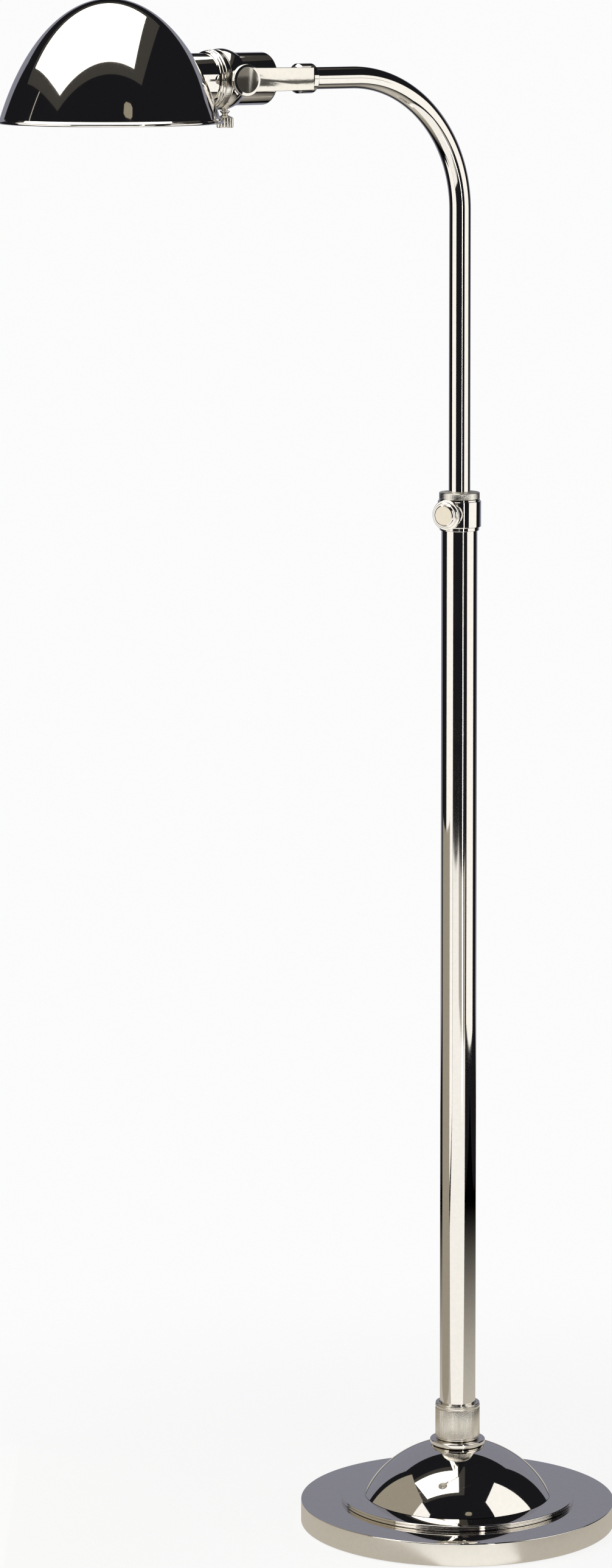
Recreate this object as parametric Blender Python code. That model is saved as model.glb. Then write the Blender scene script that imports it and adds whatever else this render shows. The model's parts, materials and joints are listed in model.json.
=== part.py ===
"""Pharmacy floor lamp: weighted round base, telescopic post and a tilting domed head.

The post axis is the Z axis and the floor is z = 0.  The arm reaches along -X, so "reach"
below is the distance from the post axis towards -X.  The head sits beside the arm, towards
+Y, on a pivot whose knob faces -Y.  Lengths are in millimetres until a helper builds a mesh
or places an object, which turns them into metres.
"""
import math

import bmesh
import bpy
from mathutils import Vector

MM = 0.001
GAP = 0.3            # left between pieces that touch
CLEAR = 0.3          # radial room round a thread or a spigot
CUT = 3.0            # how far a cutting tool stands clear of what it cuts
EDGE = 0.5           # small broken edge
ROUNDING = 1.0       # larger rounded edge

ROUND_LARGE = 36     # facets of the base and the shade
ROUND_MEDIUM = 20    # facets of tubes, collars and knobs
ROUND_HEAD = 24      # facets of the rings round the socket
ROUND_SMALL = 12     # facets of screws and washers
DOME_STEPS, SHADE_STEPS, BEND_STEPS = 6, 9, 12
BEAD_STEPS, CORNER_STEPS, BULGE_STEPS, BAR_TIP_STEPS = 5, 4, 5, 8

# ---- base ------------------------------------------------------------------------------
PAD_R, PAD_T = 131.0, 2.0
COVER_R, COVER_TOP, COVER_FOOT, COVER_WALL = 139.7, 21.0, 1.0, 1.6
WEIGHT_R = COVER_R - COVER_WALL - 0.4
RECESS_R, RECESS_TOP = 22.0, 11.5
STEP_R, STEP_T, STEP_BEAD = 104.0, 4.7, 0.5
DOME_BASE_R, DOME_SPHERE_R, DOME_WALL = 83.0, 96.5, 1.2
DOME_LAND_R = 22.0
CHECK_RING_R, CHECK_RING_T = 24.5, 4.8
CORD_Z, CORD_HOLE_R, CORD_R = 8.0, 3.8, 2.6
CORD_WAY = 55.0      # direction of the cord outlet, degrees from +X towards +Y
CHANNEL_HALF, CHANNEL_OVERLAP = 4.2, 8.0
GROMMET_NEAR, GROMMET_NECK_R, GROMMET_FLANGE_R, GROMMET_FLANGE_T = 136.5, 3.5, 5.6, 2.0

# ---- post ------------------------------------------------------------------------------
POST_R, POST_WALL = 15.875, 1.2
FERRULE_R, FERRULE_TOP, FERRULE_SEAT = 19.8, 109.0, 92.0
FERRULE_LIP = 4.0    # height of the bead round the ferrule's mouth
ROD_R, ROD_BORE_R, ROD_FOOT, ROD_TOP = 4.95, 3.2, 3.5, 114.0
ROD_HOLE_R = ROD_R + CLEAR
LOCK_WASHER_R, LOCK_WASHER_T = 9.0, 1.2
ROD_NUT_CORNER_R, ROD_NUT_T = 8.5, 5.0
PLUG_TOP = 112.0
POST_TOP = 899.9

# ---- height clamp ----------------------------------------------------------------------
SKIRT_R, SKIRT_FOOT = 17.4, 890.5
COLLAR_R, COLLAR_FOOT, COLLAR_TOP = 19.1, 893.7, 918.0
CAP_R, CAP_TOP = 17.9, 924.3
BUSH_R, BUSH_FOOT = 13.7, 886.0
CLAMP_Z = 906.0
CLAMP_WAY = 205.0    # direction of the clamp knob, degrees from +X towards +Y
CLAMP_SCREW_R, CLAMP_BOSS_R, CLAMP_BOSS_NEAR = 3.0, 11.5, 12.0
CLAMP_BOSS_END, CLAMP_SCREW_END = 21.5, 25.5
CLAMP_KNOB_R, CLAMP_STEP_R, CLAMP_FACE_R = 13.4, 11.2, 8.25
CLAMP_RIM_T, CLAMP_STEP_T, CLAMP_FACE_END = 4.0, 2.2, 30.2

# ---- upper tube ------------------------------------------------------------------------
TUBE_R, TUBE_BORE_R = 9.525, 8.0
TUBE_HOLE_R = TUBE_R + CLEAR
TUBE_FOOT = 600.0
ARM_Z, BEND_R = 1291.3, 117.6
GUIDE_R, GUIDE_FOOT, GUIDE_TOP = 14.3, 608.0, 638.0
RING_R, RING_T = 13.4, 4.0

# ---- arm end ---------------------------------------------------------------------------
COUPLER_R, COUPLER_NEAR, COUPLER_FAR = 12.9, 160.6, 178.4
SPIGOT_R, SPIGOT_NEAR, WIRE_R = 7.7, 144.0, 3.5
BAR_NEAR, BAR_INNER, BAR_OUTER = 166.8, -7.8, -12.3
BAR_H_COUPLER, BAR_H_PIVOT = 19.4, 20.8

# ---- pivot and clamp ring --------------------------------------------------------------
PIVOT_REACH = 240.0
STUD_R, STUD_INNER, STUD_OUTER = 3.0, -3.0, -16.0
STUD_HOLE_R = STUD_R + CLEAR
FRICTION_WASHER_R, WAVE_WASHER_R, WAVE_WASHER_END = 8.5, 7.0, 13.8
KNOB_R, KNOB_BACK, KNOB_FACE = 13.7, 12.9, 17.4
KNOB_RECESS_R, KNOB_RECESS, KNOB_DISH = 7.4, 1.2, 0.5
BOSS_FACE, BOSS_R, BOSS_ROOT = -6.4, 6.2, 3.4
HEAD_Y = 20.5        # the socket axis lies this far beside the arm
RING_BORE_R, RING_LIP_R, RING_MAX_R, RING_NEAR, RING_FAR = 22.9, 23.6, 26.3, 231.5, 246.5
BULGE_TURN = 0.72    # how much of a half sine wave the swell follows
NOSE_R, NOSE_FAR = 24.0, 254.5
NUT_BAND_R, NUT_BAND_FAR, NUT_GROOVE_R = 25.3, 252.4, 24.4
NUT_LIP_R, NUT_LIP_FAR, NUT_FAR = 25.0, 255.2, 258.0
THUMB_REACH, THUMB_SHANK_R, THUMB_WAIST_R, THUMB_FLANGE_R = 237.5, 2.6, 2.4, 4.2
THUMB_FLANGE, THUMB_WAIST, THUMB_HEAD, THUMB_END = 26.9, 29.6, 32.8, 41.4
THUMB_HEAD_R = 7.3

# ---- socket, bulb and shade ------------------------------------------------------------
CUP_R, CUP_WALL, CUP_BACK_T, CUP_CORNER = 22.6, 1.6, 2.5, 3.0
CUP_NEAR, CUP_FAR = 196.0, 293.5
NIPPLE_NEAR, NIPPLE_FAR = 192.5, 210.0
NIPPLE_NUT_CORNER_R, NIPPLE_NUT_T, BUSHING_R, BUSHING_T = 7.8, 2.7, 5.2, 2.2
HOLDER_NEAR, HOLDER_FAR, HOLDER_R = 206.0, 246.0, 17.5
HOLDER_FLANGE_T, HOLDER_FLOOR = 5.0, 212.5
CONTACT_R, CONTACT_T = 4.6, 1.4
SHELL_R, SHELL_BORE_R, SHELL_NEAR, SHELL_FAR = 14.3, 13.5, 214.6, 244.5
BULB_CAP_R, BULB_CAP_NEAR, BULB_CAP_FAR = 13.2, 214.5, 241.0
BULB_TIP_R, BULB_TIP_T, BULB_SHOULDER_T = 4.5, 1.5, 5.0
BULB_R, BULB_FAR, BULB_WALL = 16.0, 345.0, 0.8
BULB_NECK_R, BULB_NECK_T, BULB_SHOULDER = 12.8, 8.0, 20.0
SHADE_REACH, SHADE_TOP, SHADE_DEPTH = 355.3, 1361.2, 103.6
ELLIPSE_R, ELLIPSE_H = 107.0, 201.0      # the dome is the crown of this tall ellipsoid
SHADE_WALL, SHADE_BEAD = 1.0, 1.4
BEAD_OFFSET = 0.7    # how far the bead's centre lies outside the dome, in bead radii
SHADE_NUT_R, SHADE_NUT_NEAR, SHADE_NUT_T = 26.0, 290.8, 4.0


# ---- helpers ---------------------------------------------------------------------------
def clear_scene():
    for thing in list(bpy.data.objects):
        bpy.data.objects.remove(thing, do_unlink=True)


def material(name, colour, roughness, metallic=1.0):
    made = bpy.data.materials.new(name)
    made.use_nodes = True
    shader = made.node_tree.nodes["Principled BSDF"]
    shader.inputs["Base Color"].default_value = (*colour, 1.0)
    shader.inputs["Roughness"].default_value = roughness
    shader.inputs["Metallic"].default_value = metallic
    made.diffuse_color = (*colour, 1.0)
    return made


def frame(name, at, parent=None):
    """An empty on a joint's axis, which carries the pieces of one body."""
    empty = bpy.data.objects.new(name, None)
    empty.empty_display_size = 0.03
    bpy.context.scene.collection.objects.link(empty)
    place(empty, parent, at)
    return empty


def world_of(thing):
    spot = Vector(thing.location)
    while thing.parent:
        thing = thing.parent
        spot += thing.location
    return spot


def place(thing, parent, at, facing=(0, 0, 1)):
    """Put a thing at a world point, with its own Z axis facing a world direction."""
    spot = Vector(at) * MM
    if parent:
        thing.parent = parent
        spot -= world_of(parent)
    thing.location = spot
    thing.rotation_euler = Vector((0, 0, 1)).rotation_difference(Vector(facing)).to_euler()


def mesh_object(name, bm, finish, smooth_angle=40.0):
    bmesh.ops.recalc_face_normals(bm, faces=bm.faces)
    mesh = bpy.data.meshes.new(name)
    bm.to_mesh(mesh)
    bm.free()
    if finish:
        mesh.materials.append(finish)
    mesh.shade_smooth()
    mesh.set_sharp_from_angle(angle=math.radians(smooth_angle))
    made = bpy.data.objects.new(name, mesh)
    bpy.context.scene.collection.objects.link(made)
    return made


def arc(centre_r, centre_h, radius, start, end, steps):
    """Points on an arc in the (radius, height) plane; angles in degrees from outward."""
    turns = [math.radians(start + (end - start) * i / steps) for i in range(steps + 1)]
    return [(centre_r + radius * math.cos(a), centre_h + radius * math.sin(a)) for a in turns]


def revolve(outline, facets):
    """Turn a section round local Z.  One that starts on the axis also ends on it."""
    bm = bmesh.new()
    rings = []
    for radius, height in outline:
        if radius < 1e-6:
            rings.append([bm.verts.new((0, 0, height * MM))])
            continue
        turns = [math.tau * i / facets for i in range(facets)]
        rings.append([bm.verts.new((radius * MM * math.cos(a), radius * MM * math.sin(a), height * MM))
                      for a in turns])
    solid = len(rings[0]) == 1
    for here, there in zip(rings, rings[1:] if solid else rings[1:] + rings[:1]):
        if len(here) == len(there) == 1:
            continue
        for i in range(facets):
            corners = [here[i % len(here)], here[(i + 1) % len(here)],
                       there[(i + 1) % len(there)], there[i % len(there)]]
            bm.faces.new(dict.fromkeys(corners))
    return bm


def pipe_section(outer, bore, low, high):
    return [(bore, low), (outer, low), (outer, high), (bore, high)]


def rod_section(radius, low, high):
    return [(0, low), (radius, low), (radius, high), (0, high)]


def prism(outline, low, high):
    """A flat outline of (x, y) points, extruded along local Z."""
    bm = bmesh.new()
    face = bm.faces.new([bm.verts.new((x * MM, y * MM, low * MM)) for x, y in outline])
    grown = bmesh.ops.extrude_face_region(bm, geom=[face])
    lifted = [v for v in grown["geom"] if isinstance(v, bmesh.types.BMVert)]
    bmesh.ops.translate(bm, verts=lifted, vec=(0, 0, (high - low) * MM))
    return bm


def combine(target, tool, operation="DIFFERENCE"):
    """Cut or join a hidden tool shape, which moves with the piece it shapes."""
    tool.hide_render = True
    tool.display_type = "WIRE"
    change = target.modifiers.new(tool.name, "BOOLEAN")
    change.operation = operation
    change.object = tool


def tool_rod(name, radius, low, high, parent, at, facing, facets=ROUND_SMALL):
    tool = mesh_object(name, revolve(rod_section(radius, low, high), facets), None)
    place(tool, parent, at, facing)
    return tool


def tool_box(name, low, high, parent, at, turn=0.0):
    corners = [(low[0], low[1]), (high[0], low[1]), (high[0], high[1]), (low[0], high[1])]
    tool = mesh_object(name, prism(corners, low[2], high[2]), None)
    place(tool, parent, at)
    tool.rotation_euler.z = math.radians(turn)
    return tool


def hex_nut(name, corner_r, hole, low, high, finish, parent, at, facing=(0, 0, 1)):
    corners = [(corner_r * math.cos(math.tau * i / 6), corner_r * math.sin(math.tau * i / 6))
               for i in range(6)]
    nut = mesh_object(name, prism(corners, low, high), finish)
    place(nut, parent, at, facing)
    combine(nut, tool_rod(name + "_tool", hole, low - CUT, high + CUT, parent, at, facing))


def heading(degrees):
    return (math.cos(math.radians(degrees)), math.sin(math.radians(degrees)), 0.0)


# ---- the stand: base, post and height clamp --------------------------------------------
def base_pieces(stand, mats):
    """The pad, the weight, the cover with its cord outlet, the step, the dome and the check ring."""
    origin = (0, 0, 0)

    def turned(name, section, finish, facets):
        piece = mesh_object(name, revolve(section, facets), mats[finish])
        place(piece, stand, origin)
        return piece

    turned("base_pad", rod_section(PAD_R, 0, PAD_T), "felt", ROUND_LARGE)

    low, high = PAD_T + GAP, COVER_TOP - COVER_WALL - GAP
    weight = turned("base_weight", [
        (ROD_HOLE_R, RECESS_TOP), (RECESS_R, RECESS_TOP), (RECESS_R, low), (WEIGHT_R, low),
        (WEIGHT_R, high), (ROD_HOLE_R, high)], "iron", ROUND_LARGE)
    combine(weight, tool_box(
        "cord_channel_tool", (RECESS_R - CHANNEL_OVERLAP, -CHANNEL_HALF, 0),
        (COVER_R, CHANNEL_HALF, CORD_Z + CHANNEL_HALF), stand, origin, CORD_WAY))

    bore = COVER_R - COVER_WALL
    cover = turned("base_cover", [
        (ROD_HOLE_R, COVER_TOP - COVER_WALL), (bore, COVER_TOP - COVER_WALL), (bore, COVER_FOOT),
        (COVER_R, COVER_FOOT), (COVER_R, COVER_TOP - EDGE), (COVER_R - EDGE, COVER_TOP),
        (ROD_HOLE_R, COVER_TOP)], "nickel", ROUND_LARGE)
    outlet = (0, 0, CORD_Z)
    way = heading(CORD_WAY)
    combine(cover, tool_rod("cord_hole_tool", CORD_HOLE_R, bore - CUT, COVER_R + CUT,
                            stand, outlet, way))
    flange = COVER_R + GAP
    lip = flange + GROMMET_FLANGE_T
    grommet = mesh_object("cord_grommet", revolve([
        (CORD_R, GROMMET_NEAR), (GROMMET_NECK_R, GROMMET_NEAR), (GROMMET_NECK_R, flange),
        (GROMMET_FLANGE_R, flange), (GROMMET_FLANGE_R - EDGE, lip), (CORD_R, lip)],
        ROUND_SMALL), mats["black"])
    place(grommet, stand, outlet, way)

    step_low = COVER_TOP + GAP
    step_top = step_low + STEP_T
    groove = step_low + STEP_T / 2
    turned("base_step", [
        (ROD_HOLE_R, step_low), (STEP_R - STEP_BEAD, step_low), (STEP_R, step_low + STEP_BEAD),
        (STEP_R, groove - STEP_BEAD), (STEP_R - STEP_BEAD, groove), (STEP_R, groove + STEP_BEAD),
        (STEP_R, step_top - STEP_BEAD), (STEP_R - STEP_BEAD, step_top), (ROD_HOLE_R, step_top)],
        "nickel", ROUND_LARGE)

    dome_low = step_top + GAP
    centre = dome_low - math.sqrt(DOME_SPHERE_R ** 2 - DOME_BASE_R ** 2)
    angle_low = math.degrees(math.acos(DOME_BASE_R / DOME_SPHERE_R))
    angle_high = math.degrees(math.acos(DOME_LAND_R / DOME_SPHERE_R))
    inner = DOME_SPHERE_R - DOME_WALL
    inner_low = math.degrees(math.asin((dome_low - centre) / inner))
    inner_high = math.degrees(math.acos(DOME_LAND_R / inner))
    outside = arc(0, centre, DOME_SPHERE_R, angle_low, angle_high, DOME_STEPS)
    inside = arc(0, centre, inner, inner_high, inner_low, DOME_STEPS)
    land = outside[-1][1]
    turned("base_dome", outside + [(ROD_HOLE_R, land), (ROD_HOLE_R, inside[0][1])] + inside,
           "nickel", ROUND_LARGE)

    ring_low = land + GAP
    ring_top = ring_low + CHECK_RING_T
    turned("check_ring", [
        (ROD_HOLE_R, ring_low), (CHECK_RING_R - ROUNDING, ring_low),
        (CHECK_RING_R, ring_low + ROUNDING), (CHECK_RING_R, ring_top - ROUNDING),
        (CHECK_RING_R - ROUNDING, ring_top), (ROD_HOLE_R, ring_top)], "nickel", ROUND_MEDIUM)
    return ring_top


def post_pieces(stand, mats, check_ring_top):
    """The ferrule, the post with its plug, and the rod that pulls the base together."""
    origin = (0, 0, 0)

    def turned(name, section, finish, facets=ROUND_MEDIUM):
        piece = mesh_object(name, revolve(section, facets), mats[finish])
        place(piece, stand, origin)

    post_bore = POST_R - POST_WALL
    foot = check_ring_top + GAP
    lip = FERRULE_TOP - FERRULE_LIP
    turned("post_ferrule", [
        (ROD_HOLE_R, foot), (FERRULE_R - ROUNDING, foot), (FERRULE_R, foot + ROUNDING),
        (FERRULE_R, lip - EDGE), (FERRULE_R - EDGE, lip), (FERRULE_R, lip + ROUNDING),
        (FERRULE_R, FERRULE_TOP - ROUNDING), (FERRULE_R - ROUNDING, FERRULE_TOP),
        (POST_R + CLEAR, FERRULE_TOP), (POST_R + CLEAR, FERRULE_SEAT),
        (ROD_HOLE_R, FERRULE_SEAT)], "knurled")
    turned("post_tube", pipe_section(POST_R, post_bore, FERRULE_SEAT + GAP, POST_TOP), "nickel")
    turned("post_plug", pipe_section(post_bore - CLEAR, ROD_HOLE_R, FERRULE_SEAT + 2 * GAP, PLUG_TOP),
           "brass")
    turned("centre_rod", pipe_section(ROD_R, ROD_BORE_R, ROD_FOOT, ROD_TOP), "steel", ROUND_SMALL)
    washer_top = RECESS_TOP - GAP
    washer_low = washer_top - LOCK_WASHER_T
    turned("lock_washer", pipe_section(LOCK_WASHER_R, ROD_HOLE_R, washer_low, washer_top),
           "steel", ROUND_SMALL)
    nut_top = washer_low - GAP
    hex_nut("rod_nut", ROD_NUT_CORNER_R, ROD_HOLE_R, nut_top - ROD_NUT_T, nut_top,
            mats["steel"], stand, origin)


def clamp_pieces(stand, knob_frame, mats):
    """The collar on top of the post, its bush and cap, and the clamp screw with its knob."""
    origin = (0, 0, 0)
    way = heading(CLAMP_WAY)
    level = (0, 0, CLAMP_Z)
    screw_hole = CLAMP_SCREW_R + CLEAR
    across = (screw_hole, TUBE_R - CUT, COLLAR_R + CUT)

    collar = mesh_object("collar_body", revolve([
        (POST_R + CLEAR, SKIRT_FOOT), (SKIRT_R, SKIRT_FOOT), (SKIRT_R, COLLAR_FOOT),
        (COLLAR_R - EDGE, COLLAR_FOOT), (COLLAR_R, COLLAR_FOOT + EDGE), (COLLAR_R, COLLAR_TOP),
        (BUSH_R + CLEAR, COLLAR_TOP), (BUSH_R + CLEAR, POST_TOP + GAP),
        (POST_R + CLEAR, POST_TOP + GAP)], ROUND_MEDIUM), mats["nickel"])
    place(collar, stand, origin)
    combine(collar, tool_rod("collar_hole_tool", *across, stand, level, way))

    bush = mesh_object("collar_bush", revolve(
        pipe_section(BUSH_R, TUBE_HOLE_R, BUSH_FOOT, COLLAR_TOP), ROUND_MEDIUM), mats["nylon"])
    place(bush, stand, origin)
    combine(bush, tool_rod("bush_hole_tool", *across, stand, level, way))

    cap_low = COLLAR_TOP + GAP
    cap = mesh_object("collar_cap", revolve([
        (TUBE_HOLE_R, cap_low), (CAP_R - EDGE, cap_low), (CAP_R, cap_low + EDGE),
        (CAP_R, CAP_TOP - EDGE), (CAP_R - EDGE, CAP_TOP), (TUBE_HOLE_R, CAP_TOP)],
        ROUND_MEDIUM), mats["brushed"])
    place(cap, stand, origin)

    boss = mesh_object("clamp_boss", revolve([
        (screw_hole, CLAMP_BOSS_NEAR), (CLAMP_BOSS_R, CLAMP_BOSS_NEAR),
        (CLAMP_BOSS_R, CLAMP_BOSS_END - ROUNDING), (CLAMP_BOSS_R - ROUNDING, CLAMP_BOSS_END),
        (screw_hole, CLAMP_BOSS_END)], ROUND_MEDIUM), mats["nickel"])
    place(boss, stand, level, way)
    combine(boss, tool_rod("boss_saddle_tool", COLLAR_R + GAP, CLAMP_Z - COLLAR_R, CLAMP_Z + COLLAR_R,
                           stand, origin, (0, 0, 1), ROUND_MEDIUM))

    screw = mesh_object("clamp_screw", revolve(
        rod_section(CLAMP_SCREW_R, TUBE_R + GAP, CLAMP_SCREW_END), ROUND_SMALL), mats["steel"])
    place(screw, knob_frame, level, way)
    back = CLAMP_BOSS_END + GAP
    blind = CLAMP_SCREW_END + GAP
    step = back + CLAMP_RIM_T
    face = step + CLAMP_STEP_T
    knob = mesh_object("clamp_knob", revolve([
        (0, blind), (screw_hole, blind), (screw_hole, back), (CLAMP_KNOB_R - ROUNDING, back),
        (CLAMP_KNOB_R, back + ROUNDING), (CLAMP_KNOB_R, step - ROUNDING),
        (CLAMP_KNOB_R - ROUNDING, step), (CLAMP_STEP_R, step), (CLAMP_STEP_R, face - EDGE),
        (CLAMP_STEP_R - ROUNDING, face), (CLAMP_FACE_R, CLAMP_FACE_END), (0, CLAMP_FACE_END)],
        ROUND_MEDIUM), mats["nickel"])
    place(knob, knob_frame, level, way)


# ---- the arm: bush, bent tube and end fittings -----------------------------------------
def bent_tube():
    """A round tube up the post axis, through a quarter bend, and out along the arm."""
    route = [((0, 0, TUBE_FOOT), 90.0), ((0, 0, ARM_Z - BEND_R), 90.0)]
    for i in range(1, BEND_STEPS + 1):
        turn = 90.0 * i / BEND_STEPS
        lean = math.radians(turn)
        spot = (BEND_R * (math.cos(lean) - 1), 0, ARM_Z - BEND_R * (1 - math.sin(lean)))
        route.append((spot, 90.0 + turn))
    route.append(((-(COUPLER_NEAR - GAP), 0, ARM_Z), 180.0))

    bm = bmesh.new()

    def ring(spot, lean, radius):
        across = Vector((math.cos(math.radians(lean - 90)), 0, math.sin(math.radians(lean - 90))))
        side = Vector((0, 1, 0))
        turns = [math.tau * i / ROUND_MEDIUM for i in range(ROUND_MEDIUM)]
        return [bm.verts.new((Vector(spot) + radius * (math.cos(a) * across + math.sin(a) * side)) * MM)
                for a in turns]

    outer = [ring(spot, lean, TUBE_R) for spot, lean in route]
    inner = [ring(spot, lean, TUBE_BORE_R) for spot, lean in route]
    loops = outer + inner[::-1]
    for here, there in zip(loops, loops[1:] + loops[:1]):
        for i in range(ROUND_MEDIUM):
            j = (i + 1) % ROUND_MEDIUM
            bm.faces.new((here[i], here[j], there[j], there[i]))
    return bm


def arm_pieces(slider, arm, mats):
    """The guide bush between its two rings, the bent tube, the coupler and the flat bar."""
    origin = (0, 0, 0)
    guide = mesh_object("guide_bush", revolve(
        pipe_section(GUIDE_R, TUBE_HOLE_R, GUIDE_FOOT, GUIDE_TOP), ROUND_MEDIUM), mats["nylon"])
    place(guide, slider, origin)
    rings = {"stop_ring": GUIDE_TOP + GAP, "retaining_ring": GUIDE_FOOT - GAP - RING_T}
    for name, low in rings.items():
        ring = mesh_object(name, revolve(
            pipe_section(RING_R, TUBE_HOLE_R, low, low + RING_T), ROUND_MEDIUM), mats["brass"])
        place(ring, arm, origin)

    tube = mesh_object("upper_tube", bent_tube(), mats["nickel"])
    place(tube, arm, origin)

    axis = (0, 0, ARM_Z)
    coupler = mesh_object("arm_coupler", revolve([
        (WIRE_R, SPIGOT_NEAR), (SPIGOT_R, SPIGOT_NEAR), (SPIGOT_R, COUPLER_NEAR),
        (COUPLER_R - ROUNDING, COUPLER_NEAR), (COUPLER_R, COUPLER_NEAR + ROUNDING),
        (COUPLER_R, COUPLER_FAR - 2 * ROUNDING), (COUPLER_R - EDGE, COUPLER_FAR - ROUNDING),
        (COUPLER_R - 2 * ROUNDING, COUPLER_FAR), (WIRE_R, COUPLER_FAR)],
        ROUND_MEDIUM), mats["nickel"])
    place(coupler, arm, axis, (-1, 0, 0))
    slot = tool_box("bar_slot_tool", (-COUPLER_FAR - CUT, -COUPLER_R - CUT, ARM_Z - COUPLER_R - CUT),
                    (-(BAR_NEAR - GAP), BAR_INNER + GAP, ARM_Z + COUPLER_R + CUT), arm, origin)
    combine(coupler, slot)

    near, far = BAR_H_COUPLER / 2, BAR_H_PIVOT / 2
    tip = [(-x, y) for x, y in arc(PIVOT_REACH, 0, far, 90, -90, BAR_TIP_STEPS)]
    thick = BAR_INNER - BAR_OUTER
    bar = mesh_object("flat_bar", prism([(-BAR_NEAR, -near), (-BAR_NEAR, near)] + tip, 0, thick),
                      mats["brushed"])
    place(bar, arm, (0, BAR_OUTER, ARM_Z), (0, 1, 0))
    combine(bar, tool_rod("bar_hole_tool", STUD_HOLE_R, -BAR_INNER - CUT, -BAR_OUTER + CUT, arm,
                          (-PIVOT_REACH, 0, ARM_Z), (0, -1, 0)))


# ---- the head: pivot, clamp ring, socket, bulb and shade -------------------------------
def pivot_pieces(tilt, knob_frame, mats):
    """The stud through the bar, its two washers and the knob."""
    centre = (-PIVOT_REACH, 0, ARM_Z)
    outward = (0, -1, 0)

    stud = mesh_object("pivot_stud", revolve(
        rod_section(STUD_R, -STUD_INNER, -STUD_OUTER), ROUND_SMALL), mats["steel"])
    place(stud, tilt, centre, outward)
    washers = {"friction_washer": (FRICTION_WASHER_R, -BOSS_FACE + GAP, -BAR_INNER - GAP, "black"),
               "wave_washer": (WAVE_WASHER_R, -BAR_OUTER + GAP, WAVE_WASHER_END, "steel")}
    for name, (radius, low, high, finish) in washers.items():
        washer = mesh_object(name, revolve(
            pipe_section(radius, STUD_HOLE_R, low, high), ROUND_SMALL), mats[finish])
        place(washer, tilt, centre, outward)

    blind = -STUD_OUTER + GAP
    recess = KNOB_BACK + KNOB_RECESS
    knob = mesh_object("pivot_knob", revolve([
        (0, blind), (STUD_HOLE_R, blind), (STUD_HOLE_R, recess), (KNOB_RECESS_R, recess),
        (KNOB_RECESS_R, KNOB_BACK), (KNOB_R - EDGE, KNOB_BACK), (KNOB_R, KNOB_BACK + EDGE),
        (KNOB_R, KNOB_FACE - ROUNDING), (KNOB_R - ROUNDING, KNOB_FACE),
        (KNOB_R - 2 * ROUNDING, KNOB_FACE - KNOB_DISH), (0, KNOB_FACE - KNOB_DISH)],
        ROUND_MEDIUM), mats["brushed"])
    place(knob, knob_frame, centre, outward)


def bulge():
    """The clamp ring's outside: a shallow swell from its near lip to its far edge."""
    length = RING_FAR - RING_NEAR
    swell = RING_MAX_R - RING_LIP_R
    shares = [i / BULGE_STEPS for i in range(BULGE_STEPS + 1)]
    return [(RING_LIP_R + swell * math.sin(math.pi * BULGE_TURN * t), RING_NEAR + length * t)
            for t in shares]


def ring_pieces(tilt, nut_frame, thumb_frame, mats):
    """The bulged clamp ring, its knurled nut and the thumbscrew below."""
    axis = (0, HEAD_Y, ARM_Z)
    along = (-1, 0, 0)
    ring = mesh_object("clamp_ring", revolve(
        [(RING_BORE_R, RING_NEAR)] + bulge() + [(NOSE_R, RING_FAR), (NOSE_R, NOSE_FAR),
                                                (RING_BORE_R, NOSE_FAR)], ROUND_HEAD), mats["nickel"])
    place(ring, tilt, axis, along)
    below = (-THUMB_REACH, HEAD_Y, ARM_Z)
    down = (0, 0, -1)
    combine(ring, tool_rod("thumb_hole_tool", THUMB_SHANK_R + CLEAR, RING_BORE_R - CUT,
                           RING_MAX_R + CUT, tilt, below, down))
    pivot = (-PIVOT_REACH, 0, ARM_Z)
    outward = (0, -1, 0)
    boss = tool_rod("ring_boss_tool", BOSS_R, BOSS_ROOT, -BOSS_FACE, tilt, pivot, outward)
    combine(ring, boss, "UNION")
    combine(ring, tool_rod("stud_hole_tool", STUD_HOLE_R, STUD_INNER - CUT, -BOSS_FACE + CUT,
                           tilt, pivot, outward))

    band_near = RING_FAR + GAP
    nut = mesh_object("ring_nut", revolve([
        (NOSE_R + CLEAR, band_near), (NUT_BAND_R, band_near), (NUT_BAND_R, NUT_BAND_FAR),
        (NUT_GROOVE_R, NUT_BAND_FAR + EDGE), (NUT_LIP_R, NUT_BAND_FAR + ROUNDING),
        (NUT_LIP_R, NUT_LIP_FAR), (NUT_GROOVE_R, NUT_LIP_FAR + EDGE), (NUT_GROOVE_R, NUT_FAR - EDGE),
        (NUT_GROOVE_R - EDGE, NUT_FAR), (RING_BORE_R, NUT_FAR), (RING_BORE_R, NOSE_FAR + GAP),
        (NOSE_R + CLEAR, NOSE_FAR + GAP)], ROUND_HEAD), mats["knurled"])
    place(nut, nut_frame, axis, along)

    tip = CUP_R + GAP
    thumb = mesh_object("thumbscrew", revolve([
        (0, tip), (THUMB_SHANK_R, tip), (THUMB_SHANK_R, THUMB_FLANGE), (THUMB_FLANGE_R, THUMB_FLANGE),
        (THUMB_FLANGE_R, THUMB_FLANGE + ROUNDING), (THUMB_WAIST_R, THUMB_WAIST),
        (THUMB_WAIST_R, THUMB_WAIST + ROUNDING), (THUMB_HEAD_R - ROUNDING, THUMB_HEAD - EDGE),
        (THUMB_HEAD_R, THUMB_HEAD), (THUMB_HEAD_R, THUMB_END - EDGE),
        (THUMB_HEAD_R - EDGE, THUMB_END), (0, THUMB_END)], ROUND_SMALL), mats["knurled"])
    place(thumb, thumb_frame, below, down)


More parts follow.
